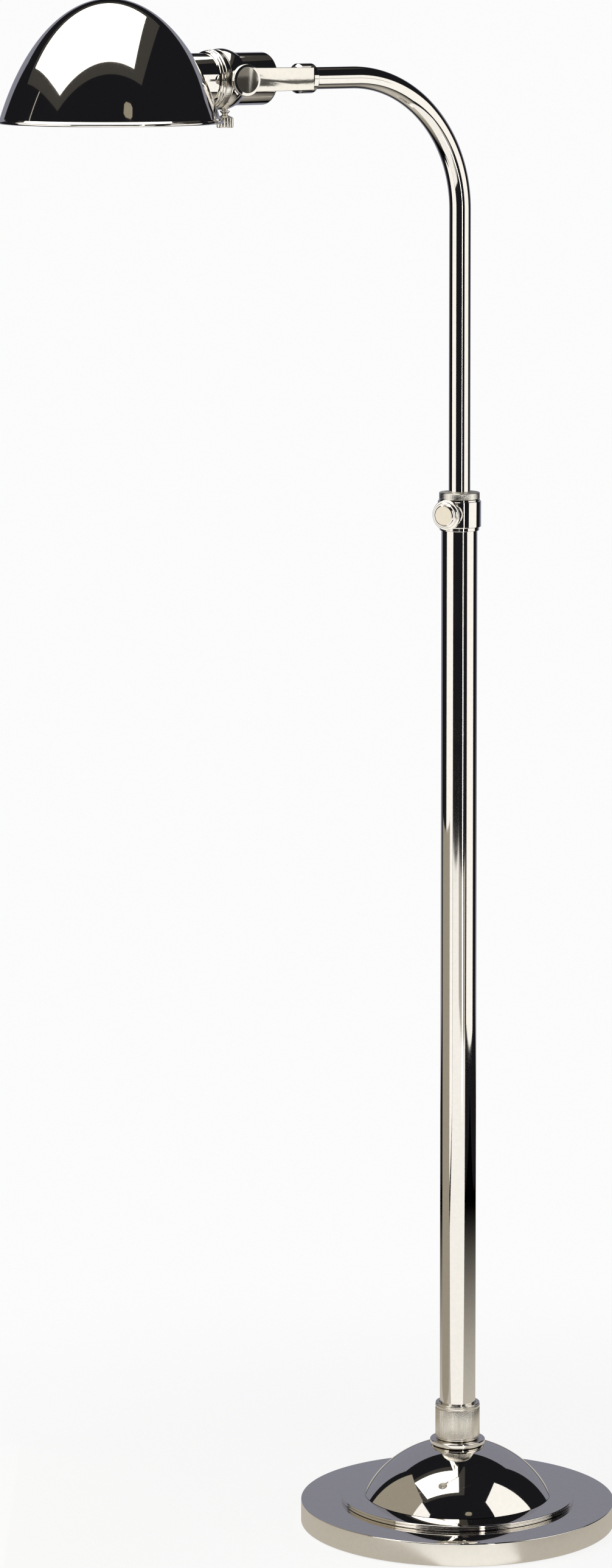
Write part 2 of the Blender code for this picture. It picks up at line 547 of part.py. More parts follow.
def socket_pieces(roll, mats):
    """The cup that turns in the clamp ring, with the lampholder and the bulb inside it."""
    axis = (0, HEAD_Y, ARM_Z)
    along = (-1, 0, 0)

    def turned(name, section, finish, facets):
        piece = mesh_object(name, revolve(section, facets), mats[finish])
        place(piece, roll, axis, along)

    bore = CUP_R - CUP_WALL
    back = CUP_NEAR + CUP_BACK_T
    corner = arc(CUP_R - CUP_CORNER, CUP_NEAR + CUP_CORNER, CUP_CORNER, -90, 0, CORNER_STEPS)
    turned("socket_cup", [(ROD_HOLE_R, CUP_NEAR)] + corner + [
        (CUP_R, CUP_FAR), (bore, CUP_FAR), (bore, back), (ROD_HOLE_R, back)], "nickel", ROUND_HEAD)
    turned("socket_nipple", pipe_section(ROD_R, ROD_BORE_R, NIPPLE_NEAR, NIPPLE_FAR),
           "steel", ROUND_SMALL)
    hex_nut("nipple_nut", NIPPLE_NUT_CORNER_R, ROD_HOLE_R, CUP_NEAR - GAP - NIPPLE_NUT_T,
            CUP_NEAR - GAP, mats["nickel"], roll, axis, along)
    bushing_far = NIPPLE_NEAR - GAP
    turned("wire_bushing", pipe_section(BUSHING_R, CORD_R, bushing_far - BUSHING_T, bushing_far),
           "black", ROUND_SMALL)
    flange = bore - GAP
    shoulder = HOLDER_NEAR + HOLDER_FLANGE_T
    well = NIPPLE_FAR + 2 * GAP
    turned("lampholder_body", [
        (ROD_HOLE_R, HOLDER_NEAR), (flange, HOLDER_NEAR), (flange, shoulder), (HOLDER_R, shoulder),
        (HOLDER_R, HOLDER_FAR), (SHELL_R + CLEAR, HOLDER_FAR), (SHELL_R + CLEAR, HOLDER_FLOOR),
        (WIRE_R, HOLDER_FLOOR), (WIRE_R, well), (ROD_HOLE_R, well)], "porcelain", ROUND_MEDIUM)
    contact = HOLDER_FLOOR + GAP
    turned("centre_contact", rod_section(CONTACT_R, contact, contact + CONTACT_T), "brass", ROUND_SMALL)
    turned("screw_shell", pipe_section(SHELL_R, SHELL_BORE_R, SHELL_NEAR, SHELL_FAR),
           "brass", ROUND_MEDIUM)
    tip = BULB_CAP_NEAR + BULB_TIP_T
    turned("bulb_cap", [
        (0, BULB_CAP_NEAR), (BULB_TIP_R, BULB_CAP_NEAR), (BULB_TIP_R, tip),
        (BULB_CAP_R, BULB_CAP_NEAR + BULB_SHOULDER_T), (BULB_CAP_R, BULB_CAP_FAR),
        (0, BULB_CAP_FAR)], "brass", ROUND_MEDIUM)
    neck = BULB_CAP_FAR + GAP
    neck_far, shoulder = neck + BULB_NECK_T, neck + BULB_SHOULDER
    nose = BULB_FAR - BULB_R
    inner, neck_bore = BULB_R - BULB_WALL, BULB_NECK_R - BULB_WALL
    turned("bulb_glass", [(BULB_NECK_R, neck), (BULB_NECK_R, neck_far), (BULB_R, shoulder)]
           + arc(0, nose, BULB_R, 0, 90, CORNER_STEPS)[:-1]
           + [(0, BULB_FAR), (0, BULB_FAR - BULB_WALL)]
           + arc(0, nose, inner, 90, 0, CORNER_STEPS)[1:]
           + [(inner, shoulder), (neck_bore, neck_far), (neck_bore, neck)], "glass", ROUND_MEDIUM)
    turned("shade_nut", pipe_section(SHADE_NUT_R, CUP_R + CLEAR, SHADE_NUT_NEAR,
                                     SHADE_NUT_NEAR + SHADE_NUT_T), "nickel", ROUND_HEAD)


def dome_section():
    """The shade's section: the crown of an ellipsoid, with a bead rolled round its rim."""

    def crown(radius, height, first, last):
        turns = [first + (last - first) * i / SHADE_STEPS for i in range(SHADE_STEPS + 1)]
        return [(radius * math.cos(a), height * math.sin(a) - ELLIPSE_H) for a in turns]

    rim = math.asin((ELLIPSE_H - SHADE_DEPTH) / ELLIPSE_H)
    outside = crown(ELLIPSE_R, ELLIPSE_H, math.pi / 2, rim)
    thin_r, thin_h = ELLIPSE_R - SHADE_WALL, ELLIPSE_H - SHADE_WALL
    rim_inside = math.asin((ELLIPSE_H - SHADE_DEPTH) / thin_h)
    inside = crown(thin_r, thin_h, rim_inside, math.pi / 2)
    bead_r = outside[-1][0] + SHADE_BEAD * BEAD_OFFSET
    bead = arc(bead_r, -SHADE_DEPTH, SHADE_BEAD, 90, -120, BEAD_STEPS)
    return [(0, 0)] + outside[1:-1] + bead + inside[:-1] + [(0, -SHADE_WALL)]


def shade_piece(roll, mats):
    shade = mesh_object("shade", revolve(dome_section(), ROUND_LARGE), mats["nickel"])
    place(shade, roll, (-SHADE_REACH, HEAD_Y, SHADE_TOP))
    combine(shade, tool_rod("shade_hole_tool", CUP_R + CLEAR, PIVOT_REACH, SHADE_REACH, roll,
                            (0, HEAD_Y, ARM_Z), (-1, 0, 0), ROUND_HEAD))


def finishes():
    return {
        "nickel": material("polished_nickel", (0.83, 0.80, 0.75), 0.06),
        "brushed": material("brushed_nickel", (0.80, 0.77, 0.71), 0.28),
        "knurled": material("knurled_nickel", (0.80, 0.77, 0.71), 0.22),
        "steel": material("zinc_steel", (0.60, 0.61, 0.62), 0.35),
        "brass": material("raw_brass", (0.78, 0.62, 0.35), 0.30),
        "iron": material("cast_iron", (0.12, 0.12, 0.12), 0.75),
        "felt": material("green_felt", (0.05, 0.07, 0.05), 0.95, 0.0),
        "black": material("black_plastic", (0.02, 0.02, 0.02), 0.45, 0.0),
        "nylon": material("white_nylon", (0.85, 0.84, 0.80), 0.40, 0.0),
        "porcelain": material("porcelain", (0.90, 0.89, 0.86), 0.20, 0.0),
        "glass": material("frosted_glass", (0.95, 0.94, 0.92), 0.40, 0.0),
    }


def build():
    clear_scene()
    mats = finishes()
    stand = frame("stand_frame", (0, 0, 0))
    slider = frame("slider_frame", (0, 0, CLAMP_Z), stand)
    arm = frame("arm_frame", (0, 0, CLAMP_Z), slider)
    tilt = frame("tilt_frame", (-PIVOT_REACH, 0, ARM_Z), arm)
    roll = frame("roll_frame", (-PIVOT_REACH, HEAD_Y, ARM_Z), tilt)
    clamp_knob = frame("clamp_knob_frame", (0, 0, CLAMP_Z), stand)
    pivot_knob = frame("pivot_knob_frame", (-PIVOT_REACH, 0, ARM_Z), tilt)
    ring_nut = frame("ring_nut_frame", (-PIVOT_REACH, HEAD_Y, ARM_Z), tilt)
    thumb = frame("thumbscrew_frame", (-THUMB_REACH, HEAD_Y, ARM_Z), tilt)

    check_ring_top = base_pieces(stand, mats)
    post_pieces(stand, mats, check_ring_top)
    clamp_pieces(stand, clamp_knob, mats)
    arm_pieces(slider, arm, mats)
    pivot_pieces(tilt, pivot_knob, mats)
    ring_pieces(tilt, ring_nut, thumb, mats)
    socket_pieces(roll, mats)
    shade_piece(roll, mats)


build()
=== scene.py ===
"""The looks of the pharmacy floor lamp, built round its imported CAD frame.

Lengths in the outlines below are in millimetres, and a piece's size and place are measured on
the CAD node that it stands for.  The post axis is +Z, the arm reaches along -X, and the knobs
face -Y.  The studio and the camera at the end are in metres.
"""

import json
import math
from collections import namedtuple

import bmesh
import bpy
from mathutils import Matrix, Vector


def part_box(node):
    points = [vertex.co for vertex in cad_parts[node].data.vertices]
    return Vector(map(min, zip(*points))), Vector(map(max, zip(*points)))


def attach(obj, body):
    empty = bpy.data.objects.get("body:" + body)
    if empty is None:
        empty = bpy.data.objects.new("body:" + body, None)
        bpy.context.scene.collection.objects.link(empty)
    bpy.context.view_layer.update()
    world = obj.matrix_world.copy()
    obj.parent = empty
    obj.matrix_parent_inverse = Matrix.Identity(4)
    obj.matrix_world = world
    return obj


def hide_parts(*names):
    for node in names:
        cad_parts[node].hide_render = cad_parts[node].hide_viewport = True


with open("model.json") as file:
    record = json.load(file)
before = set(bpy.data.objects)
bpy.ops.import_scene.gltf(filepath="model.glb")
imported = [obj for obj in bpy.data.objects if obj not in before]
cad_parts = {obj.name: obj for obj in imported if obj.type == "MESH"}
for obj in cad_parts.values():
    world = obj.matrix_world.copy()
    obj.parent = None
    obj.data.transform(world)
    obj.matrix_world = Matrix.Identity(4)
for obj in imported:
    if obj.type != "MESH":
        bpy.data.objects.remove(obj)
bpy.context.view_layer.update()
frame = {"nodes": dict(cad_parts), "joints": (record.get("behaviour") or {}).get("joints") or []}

MM = 0.001
Axis = namedtuple("Axis", "origin along")
Extent = namedtuple("Extent", "low high radius")
Knurl = namedtuple("Knurl", "teeth depth low high")

FINE, MEDIUM, SMALL = 256, 160, 96       # segments round a turned piece
FILLET_STEPS = 6
SHARP = math.radians(32)                 # an edge that bends further than this is shaded sharp
TINY = 1e-6                              # anything shorter has no length
NEAR = 0.01                              # slack in comparing two places on an outline
SKIN = 0.05                              # a face this near an outer surface belongs to it
TOOTH = (0.0, 0.6, 1.0, 0.6)             # a knurl's depth at the four points that make it
CLEAR = 0.3                              # the CAD's room between pieces that touch
STAY = 2.0                               # a long wall's extra ring stands this far from its bend
SCREW_HOLE = 3.3                         # radius of the holes for clamp screw and pivot stud
TUBE_WALL = 1.525


# ---- measuring the frame ---------------------------------------------------------------
def joint_axis(name, turned_round=False):
    """The line that a joint turns or slides on, in millimetres."""
    joint = next(j for j in frame["joints"] if j["name"] == name)
    along = Vector(joint["axis"]).normalized()
    return Axis(Vector(joint["pos_m"]) / MM, -along if turned_round else along)


def measure(node, axis):
    """A CAD node's lowest and highest place along an axis, and its largest radius round it."""
    spots = [v.co / MM - axis.origin for v in frame["nodes"][node].data.vertices]
    heights = [p.dot(axis.along) for p in spots]
    radii = [(p - h * axis.along).length for p, h in zip(spots, heights)]
    return Extent(min(heights), max(heights), max(radii))


def tube_radius():
    """The thin tube's radius, from the straight part that its box is as wide as."""
    low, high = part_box("upper_tube")
    return (high.y - low.y) / 2 / MM


POST = Axis(Vector((0, 0, 0)), Vector((0, 0, 1)))
HEAD = joint_axis("shade_roll", turned_round=True)
PIVOT = joint_axis("pivot_knob_turn")
CLAMP = joint_axis("clamp_knob_turn")
THUMB = joint_axis("thumbscrew_turn")
ARM = Axis(Vector((0, 0, PIVOT.origin.z)), Vector((-1, 0, 0)))
# The radius of the hole in every piece that the rod, or the nipple, passes through.
ROD_HOLE = measure("centre_rod", POST).radius + CLEAR
NIPPLE_HOLE = measure("socket_nipple", HEAD).radius + CLEAR


# ---- mesh helpers ----------------------------------------------------------------------
def placed(name, bm):
    """Make an object of a bmesh and put it in the scene."""
    mesh = bpy.data.meshes.new(name)
    bm.to_mesh(mesh)
    bm.free()
    thing = bpy.data.objects.new(name, mesh)
    bpy.context.scene.collection.objects.link(thing)
    return thing


def finished(name, bm, finish, body, replaced):
    """Turn a bmesh into a piece that rides on its body and stands for its CAD node."""
    bmesh.ops.recalc_face_normals(bm, faces=bm.faces)
    piece = placed(name, bm)
    piece.data.materials.append(FINISH[finish])
    piece.data.shade_smooth()
    piece.data.set_sharp_from_angle(angle=SHARP)
    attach(piece, body)
    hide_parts(*replaced)
    return piece


def arc(centre_r, centre_h, radius, start, end, steps):
    """Points on an arc in the (radius, height) plane; angles in degrees from outward."""
    turns = [math.radians(start + (end - start) * i / steps) for i in range(steps + 1)]
    return [(centre_r + radius * math.cos(a), centre_h + radius * math.sin(a)) for a in turns]


def rounded(corners, steps=FILLET_STEPS):
    """A closed outline from corners (radius, height, fillet), with an arc at each fillet."""
    points = []
    count = len(corners)
    for i, corner in enumerate(corners):
        spot = Vector(corner[:2])
        fillet = corner[2] if len(corner) > 2 else 0.0
        before = Vector(corners[i - 1][:2]) - spot
        after = Vector(corners[(i + 1) % count][:2]) - spot
        if fillet <= 0 or before.length < TINY or after.length < TINY:
            points.append(tuple(spot))
            continue
        half = before.angle(after) / 2
        most = 0.49 * min(before.length, after.length)      # leaves room for the next fillet
        back, onward = before.normalized(), after.normalized()
        run = min(fillet / math.tan(half), most)
        fillet = run * math.tan(half)
        middle = spot + (back + onward).normalized() * fillet / math.sin(half)
        first, last = spot + back * run - middle, spot + onward * run - middle
        sweep = first.angle_signed(last)
        for k in range(steps + 1):
            points.append(tuple(middle + Matrix.Rotation(-sweep * k / steps, 2) @ first))
    return points


def in_band(knurl, height):
    """Whether a point at this height lies in the knurled band, if there is one."""
    return knurl is not None and knurl.low - NEAR <= height <= knurl.high + NEAR


def revolve(outline, axis, segments, knurl=None):
    """Turn an outline of (radius, height) round an axis.  Its ends may lie on the axis.

    A knurl cuts its teeth into the outermost points of its band.
    """
    if knurl:
        segments = len(TOOTH) * knurl.teeth
    bm = bmesh.new()
    lathe = bm.verts.layers.float_vector.new("lathe")
    turn = Vector((0, 0, 1)).rotation_difference(axis.along)
    outer = max((r for r, h in outline if in_band(knurl, h)), default=0.0)
    rings = []
    for radius, height in outline:
        cut = knurl.depth if in_band(knurl, height) and radius >= outer - NEAR else 0.0
        ring = []
        for k in range(segments if radius > TINY else 1):
            angle = math.tau * k / segments
            r = radius - cut * TOOTH[k % len(TOOTH)]
            spot = turn @ Vector((r * math.cos(angle), r * math.sin(angle), height))
            vert = bm.verts.new((axis.origin + spot) * MM)
            vert[lathe] = (radius, height, angle)
            ring.append(vert)
        rings.append(ring)
    solid = len(rings[0]) == 1
    for here, there in zip(rings, rings[1:] if solid else rings[1:] + rings[:1]):
        if len(here) == len(there) == 1:
            continue
        for k in range(segments):
            ring = [here[k % len(here)], here[(k + 1) % len(here)],
                    there[(k + 1) % len(there)], there[k % len(there)]]
            bm.faces.new(dict.fromkeys(ring))               # three corners beside the axis
    return bm


def rod(axis, radius, low, high, segments=SMALL):
    """A plain round bar, for drilling."""
    return revolve([(0, low), (radius, low), (radius, high), (0, high)], axis, segments)


def turned(name, node, corners, axis, finish, body, segments=MEDIUM, knurl=None,
           steps=FILLET_STEPS):
    """A turned piece, from the corners of its outline, that stands for one CAD node."""
    bm = revolve(rounded(corners, steps), axis, segments, knurl)
    return finished(name, bm, finish, body, [node])


def prism(outline, axis, low, high, bevel):
    """An outline of (across, up) points, extruded along an axis, with its edges bevelled."""
    bm = bmesh.new()
    up = Vector((0, 0, 1))
    across = up.cross(axis.along)
    corners = [axis.origin + x * across + y * up + low * axis.along for x, y in outline]
    face = bm.faces.new([bm.verts.new(c * MM) for c in corners])
    grown = bmesh.ops.extrude_face_region(bm, geom=[face])
    lifted = [v for v in grown["geom"] if isinstance(v, bmesh.types.BMVert)]
    bmesh.ops.translate(bm, verts=lifted, vec=axis.along * (high - low) * MM)
    bm.normal_update()
    rims = [e for e in bm.edges
            if abs((e.verts[0].co - e.verts[1].co).dot(axis.along)) < NEAR * MM]
    bmesh.ops.bevel(bm, geom=rims, offset=bevel * MM, segments=3, profile=0.6, affect="EDGES",
                    clamp_overlap=True)
    return bm


def shape(piece, tool_bm, operation):
    """Cut or join a piece with a tool mesh, and keep only the result."""
    bmesh.ops.recalc_face_normals(tool_bm, faces=tool_bm.faces)
    tool = placed("tool", tool_bm)
    change = piece.modifiers.new("shape", "BOOLEAN")
    change.operation = operation
    change.object = tool
    bpy.context.view_layer.update()
    result = piece.evaluated_get(bpy.context.evaluated_depsgraph_get())
    made = bpy.data.meshes.new_from_object(result)
    piece.modifiers.remove(change)
    old, name = piece.data, piece.data.name
    piece.data = made
    bpy.data.meshes.remove(old)
    made.name = name
    made.set_sharp_from_angle(angle=SHARP)
    spent = tool.data
    bpy.data.objects.remove(tool)
    bpy.data.meshes.remove(spent)


def faced(piece, axis, height, finish):
    """Give the flat end of a turned piece a finish of its own."""
    piece.data.materials.append(FINISH[finish])
    facing = math.cos(math.radians(10))
    for face in piece.data.polygons:
        level = (face.center / MM - axis.origin).dot(axis.along)
        turned_out = face.normal.dot(axis.along) > facing
        face.material_index = int(level > height - SKIN and turned_out)


# ---- materials -------------------------------------------------------------------------
class Nodes:
    """A short way to write a node tree."""

    def __init__(self, name):
        self.material = bpy.data.materials.new(name)
        self.material.use_nodes = True
        self.tree = self.material.node_tree
        self.shader = self.tree.nodes["Principled BSDF"]

    def feed(self, socket, value):
        """Link a node's output to a socket, or set the socket's own value."""
        if isinstance(value, bpy.types.NodeSocket):
            self.tree.links.new(value, socket)
        else:
            socket.default_value = value

    def add(self, kind, inputs=None, **settings):
        node = self.tree.nodes.new("ShaderNode" + kind)
        for key, value in settings.items():
            setattr(node, key, value)
        for key, value in (inputs or {}).items():
            self.feed(node.inputs[key], value)
        return node

    def put(self, name, value):
        """Feed one of the shader's own sockets."""
        self.feed(self.shader.inputs[name], value)

    def show(self, shader):
        """Put another shader in the place of the usual one, and give the material."""
        self.tree.nodes.remove(self.shader)
        self.feed(self.tree.nodes["Material Output"].inputs["Surface"], shader)
        return self.material

    def place(self, stretch=(1, 1, 1)):
        """Object coordinates, stretched."""
        spot = self.add("TexCoord").outputs["Object"]
        return self.add("Mapping", {"Vector": spot, "Scale": stretch}).outputs["Vector"]

    def lathe(self):
        """The place on a turned piece's outline: radius and height, in millimetres."""
        spot = self.add("Attribute", attribute_name="lathe").outputs["Vector"]
        return self.add("Mapping", {"Vector": spot, "Scale": (1, 1, 0)}).outputs["Vector"]

    def noise(self, vector, scale, detail, rough):
        return self.add("TexNoise", {"Vector": vector, "Scale": scale, "Detail": detail,
                                     "Roughness": rough}).outputs["Fac"]

    def spread(self, value, low, high):
        """Stretch the middle of a noise over a range of numbers."""
        return self.add("MapRange", {"Value": value, "From Min": 0.3, "From Max": 0.7,
                                     "To Min": low, "To Max": high}).outputs["Result"]

    def fade(self, near, far, start, end):
        """A smooth change from one number to another with distance from the lamp's foot."""
        spot = self.add("TexCoord").outputs["Object"]
        away = self.add("VectorMath", {0: spot}, operation="LENGTH").outputs["Value"]
        return self.add("MapRange", {"Value": away, "From Min": near, "From Max": far,
                                     "To Min": start, "To Max": end},
                        interpolation_type="SMOOTHSTEP").outputs["Result"]

    def mix(self, factor, a, b):
        node = self.add("Mix", data_type="RGBA")
        for index, value in ((0, factor), (6, a), (7, b)):  # the colour sockets of the node
            self.feed(node.inputs[index], value)
        return node.outputs[2]

    def bump(self, height, distance, below=None):
        """A bump of a height in metres, on top of an earlier one."""
        inputs = {"Height": height, "Distance": distance, "Strength": 1.0}
        if below:
            inputs["Normal"] = below
        return self.add("Bump", inputs).outputs["Normal"]


def metal(name, colour, smooth, worn, grooves=0.0, grain=None, waves=0.0):
    """A metal whose roughness varies from smooth to worn with faint smudges.

    grooves is the depth of lathe marks and grain the stretch and depth of brushing, in metres;
    waves is the depth of the long swells left by spinning and buffing.
    """
    n = Nodes(name)
    spot = n.place()
    smudge = n.noise(spot, 22, 4, 0.62)
    fine = n.noise(spot, 260, 3, 0.6)
    dull = [c * 0.955 for c in colour]
    n.put("Metallic", 1.0)
    n.put("Roughness", n.spread(smudge, smooth, worn))
    n.put("Base Color", n.mix(n.spread(fine, 0.0, 1.0), (*colour, 1), (*dull, 1)))
    normal = None
    if waves:
        normal = n.bump(n.noise(spot, 26, 1.5, 0.4), waves)
    if grain:
        stretch, depth = grain
        normal = n.bump(n.noise(n.place(stretch), 1.0, 3, 0.6), depth, normal)
    if grooves:
        normal = n.bump(n.noise(n.lathe(), 5.5, 4, 0.7), grooves, normal)
    if normal:
        n.put("Normal", normal)
    return n.material


def dielectric(name, colour, dark, roughness, scale, depth, sheen=0.0, coat=0.0):
    """A plastic, ceramic or felt: mottled colour, uneven gloss and a fine surface texture."""
    n = Nodes(name)
    spot = n.place()
    mottle = n.noise(spot, scale, 4, 0.6)
    n.put("Base Color", n.mix(n.spread(mottle, 0.0, 1.0), (*colour, 1), (*dark, 1)))
    n.put("Roughness", n.spread(mottle, roughness * 0.85, min(1.0, roughness * 1.15)))
    n.put("Sheen Weight", sheen)
    n.put("Coat Weight", coat)
    n.put("Normal", n.bump(n.noise(spot, scale * 3, 4, 0.65), depth))
    return n.material


NICKEL = (0.88, 0.845, 0.79)
SATIN = (0.86, 0.82, 0.745)
FINISH = {
    "polished": metal("polished_nickel", NICKEL, 0.025, 0.055, waves=0.00002),
    "tube": metal("polished_tube", NICKEL, 0.03, 0.07),
    "turned": metal("turned_nickel", NICKEL, 0.05, 0.10, grooves=0.0000015),
    "plate": metal("buffed_plate", NICKEL, 0.02, 0.05, waves=0.00001),
    "side": metal("satin_side", SATIN, 0.26, 0.34, grain=((700, 700, 30), 0.000006)),
    "lined": metal("spun_lining", (0.93, 0.92, 0.89), 0.22, 0.32, grooves=0.00001),
    "wavy": metal("hand_ground_nickel", SATIN, 0.04, 0.09, grain=((90, 400, 260), 0.00002),
                  waves=0.00006),
    "ground": metal("ground_face", SATIN, 0.03, 0.07, grain=((500, 700, 700), 0.000004),
                    waves=0.00002),
    "matt": metal("blasted_nickel", SATIN, 0.46, 0.56, grooves=0.000006),
    # The clamp knob's face: its cream colour is a painted reflection of warm light, not the
    # nickel's own colour.
    "painted_cream": metal("painted_cream_face", (0.80, 0.735, 0.60), 0.24, 0.32, grooves=0.000004),
    "faced": metal("faced_nickel", SATIN, 0.22, 0.32, grooves=0.00001),
    "knurled": metal("knurled_nickel", SATIN, 0.16, 0.28),
    "steel": metal("zinc_steel", (0.60, 0.61, 0.62), 0.30, 0.45, grooves=0.000006),
    "brass": metal("raw_brass", (0.80, 0.63, 0.35), 0.24, 0.38, grooves=0.000006),
    "iron": dielectric("cast_iron", (0.055, 0.052, 0.05), (0.09, 0.06, 0.045), 0.78, 180,
                       0.00015),
    "felt": dielectric("green_felt", (0.022, 0.038, 0.026), (0.035, 0.055, 0.04), 0.95, 900,
                       0.0003, sheen=0.6),
    "black": dielectric("black_plastic", (0.014, 0.014, 0.015), (0.024, 0.024, 0.024), 0.42,
                        420, 0.00002),
    "nylon": dielectric("white_nylon", (0.84, 0.82, 0.77), (0.76, 0.74, 0.69), 0.42, 300,
                        0.00002),
    "porcelain": dielectric("porcelain", (0.90, 0.89, 0.86), (0.84, 0.83, 0.80), 0.22, 90,
                            0.00002, coat=0.5),
    "glass": dielectric("frosted_glass", (0.93, 0.925, 0.91), (0.88, 0.875, 0.86), 0.34, 500,
                        0.00001, coat=0.2),
}


# ---- the base --------------------------------------------------------------------------
def plate_pieces():
    """The felt pad, the base's cover and the grommet in its side."""
    pad = measure("base_pad", POST)
    turned("felt_pad", "base_pad", [
        (0, pad.low), (pad.radius, pad.low, 0.4), (pad.radius, pad.high, 0.8), (0, pad.high)],
        POST, "felt", "stand", FINE)

    cover = measure("base_cover", POST)
    wall = cover.high - measure("base_weight", POST).high - CLEAR
    inner, under = cover.radius - wall, cover.high - wall
    plate = turned("cover_shell", "base_cover", [
        (ROD_HOLE, under), (inner, under, 1.0), (inner, cover.low, 0.5),
        (cover.radius, cover.low, 0.5), (cover.radius, cover.high, 0.9),
        (ROD_HOLE, cover.high)], POST, "plate", "stand", FINE)
    plate.data.materials.append(FINISH["side"])
    for face in plate.data.polygons:
        out = math.hypot(face.center.x, face.center.y) / MM > cover.radius - SKIN
        face.material_index = int(out and abs(face.normal.z) < 0.1)

    low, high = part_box("cord_grommet")
    middle = (low + high) / 2 / MM
    outlet = Axis(Vector((0, 0, middle.z)), Vector((middle.x, middle.y, 0)).normalized())
    grommet = measure("cord_grommet", outlet)
    bore, neck, past = 2.6, 3.5, 8
    flange = cover.radius + CLEAR
    shape(plate, rod(outlet, neck + CLEAR, cover.radius - past, cover.radius + past),
          "DIFFERENCE")
    turned("outlet_grommet", "cord_grommet", [
        (bore, grommet.low, 0.2), (neck, grommet.low, 0.2), (neck, flange),
        (grommet.radius, flange, 0.3), (grommet.radius - 0.7, grommet.high, 0.7),
        (bore, grommet.high, 0.5)], outlet, "black", "stand", SMALL)


def dome_pieces():
    """The step with its two beads, the dome on it and the ring on top."""
    step = measure("base_step", POST)
    bead = (step.high - step.low) / 4
    beads = [p for level in (step.low + bead, step.high - bead)
             for p in arc(step.radius - bead, level, bead, -90, 90, 12)]
    finished("step_plate", revolve([(ROD_HOLE, step.low)] + beads + [(ROD_HOLE, step.high)],
                                   POST, FINE),
             "polished", "stand", ["base_step"])

    dome = measure("base_dome", POST)
    ring = measure("check_ring", POST)
    land, skin = ring.radius - 2.5, 1.2
    rise = dome.high - dome.low
    drop = (dome.radius ** 2 - land ** 2 - rise ** 2) / (2 * rise)
    sphere = math.hypot(dome.radius, drop)
    hollow = sphere - skin
    centre = dome.low - drop
    first = math.degrees(math.atan2(drop, dome.radius))
    last = math.degrees(math.atan2(drop + rise, land))
    outside = arc(0, centre, sphere, first, last, 48)
    inside = arc(0, centre, hollow, last, math.degrees(math.asin(drop / hollow)), 24)
    crown = [(ROD_HOLE, dome.high), (ROD_HOLE, dome.high - skin)]
    finished("dome_shell", revolve(outside + crown + inside, POST, FINE),
             "polished", "stand", ["base_dome"])

    turned("check_ring_fine", "check_ring", [
        (ROD_HOLE, ring.low), (ring.radius - 1.2, ring.low, 0.3),
        (ring.radius, ring.low + 1.0, 0.6), (ring.radius, ring.high, 1.3),
        (ROD_HOLE, ring.high)], POST, "turned", "stand")


# ---- the post and its clamp ------------------------------------------------------------
def post_pieces():
    """The knurled ferrule at the post's foot, and the post's tube."""
    ferrule = measure("post_ferrule", POST)
    post = measure("post_tube", POST)
    seat, wall = post.radius + CLEAR, 1.2
    r, top = ferrule.radius, ferrule.high
    band = Knurl(112, 0.28, ferrule.low + 3.4, top - 5.4)
    turned("knurled_ferrule", "post_ferrule", [
        (ROD_HOLE, ferrule.low), (r - 1.2, ferrule.low, 0.3), (r - 0.2, ferrule.low + 0.9, 0.4),
        (r - 0.2, ferrule.low + 1.8, 0.3), (r - 1.0, ferrule.low + 2.2, 0.2),
        (r - 1.0, band.low - 0.5, 0.2), (r - 0.3, band.low - 0.3), (r, band.low),
        (r, band.high), (r - 0.3, band.high + 0.3), (r - 0.9, band.high + 0.5, 0.2),
        (r - 0.9, band.high + 1.1, 0.2), (r, band.high + 1.5, 0.4), (r, band.high + 3.2, 0.4),
        (r - 0.7, band.high + 3.6, 0.2), (r - 0.7, band.high + 4.0, 0.2),
        (r - 0.2, band.high + 4.4, 0.3), (r - 0.5, top, 0.4), (seat, top, 0.3),
        (seat, post.low - CLEAR), (ROD_HOLE, post.low - CLEAR)],
        POST, "knurled", "stand", knurl=band)
    turned("post_shell", "post_tube", [
        (post.radius - wall, post.low), (post.radius, post.low),
        (post.radius, post.high - STAY), (post.radius, post.high, 0.4),
        (post.radius - wall, post.high, 0.4)], POST, "tube", "stand")


def collar_pieces():
    """The collar on the post's top, its cap, and the disc behind the clamp knob."""
    body = measure("collar_body", POST)
    post = measure("post_tube", POST)
    seat = post.radius + CLEAR
    bore = measure("collar_bush", POST).radius + CLEAR
    skirt, past = 3.2, 5
    r = body.radius
    collar = turned("collar_shell", "collar_body", [
        (seat, body.low, 0.3), (r - 1.7, body.low, 0.4), (r - 1.7, body.low + skirt, 0.2),
        (r, body.low + skirt, 0.7), (r, body.high - 1.4, 0.5), (r - 0.9, body.high - 1.2, 0.2),
        (r - 0.9, body.high), (bore, body.high), (bore, post.high + CLEAR),
        (seat, post.high + CLEAR)], POST, "polished", "stand")
    shape(collar, rod(CLAMP, SCREW_HOLE, 0, r + past), "DIFFERENCE")

    cap = measure("collar_cap", POST)
    hole = tube_radius() + CLEAR
    band = Knurl(150, 0.10, cap.low + 0.9, cap.high - 0.9)
    ring = turned("cap_ring", "collar_cap", [
        (hole, cap.low), (cap.radius - 0.5, cap.low, 0.2), (cap.radius, cap.low + 0.5, 0.2),
        (cap.radius, band.low), (cap.radius, band.high), (cap.radius, cap.high - 0.4, 0.2),
        (cap.radius - 0.6, cap.high, 0.3), (hole, cap.high, 0.4)],
        POST, "faced", "stand", knurl=band)
    faced(ring, POST, cap.high, "matt")

    boss = measure("clamp_boss", CLAMP)
    disc = turned("boss_disc", "clamp_boss", [
        (SCREW_HOLE, boss.low), (boss.radius, boss.low), (boss.radius, boss.high, 0.9),
        (SCREW_HOLE, boss.high)], CLAMP, "polished", "stand")
    shape(disc, rod(POST, r + CLEAR, CLAMP.origin.z - 2 * r, CLAMP.origin.z + 2 * r, MEDIUM),
          "DIFFERENCE")


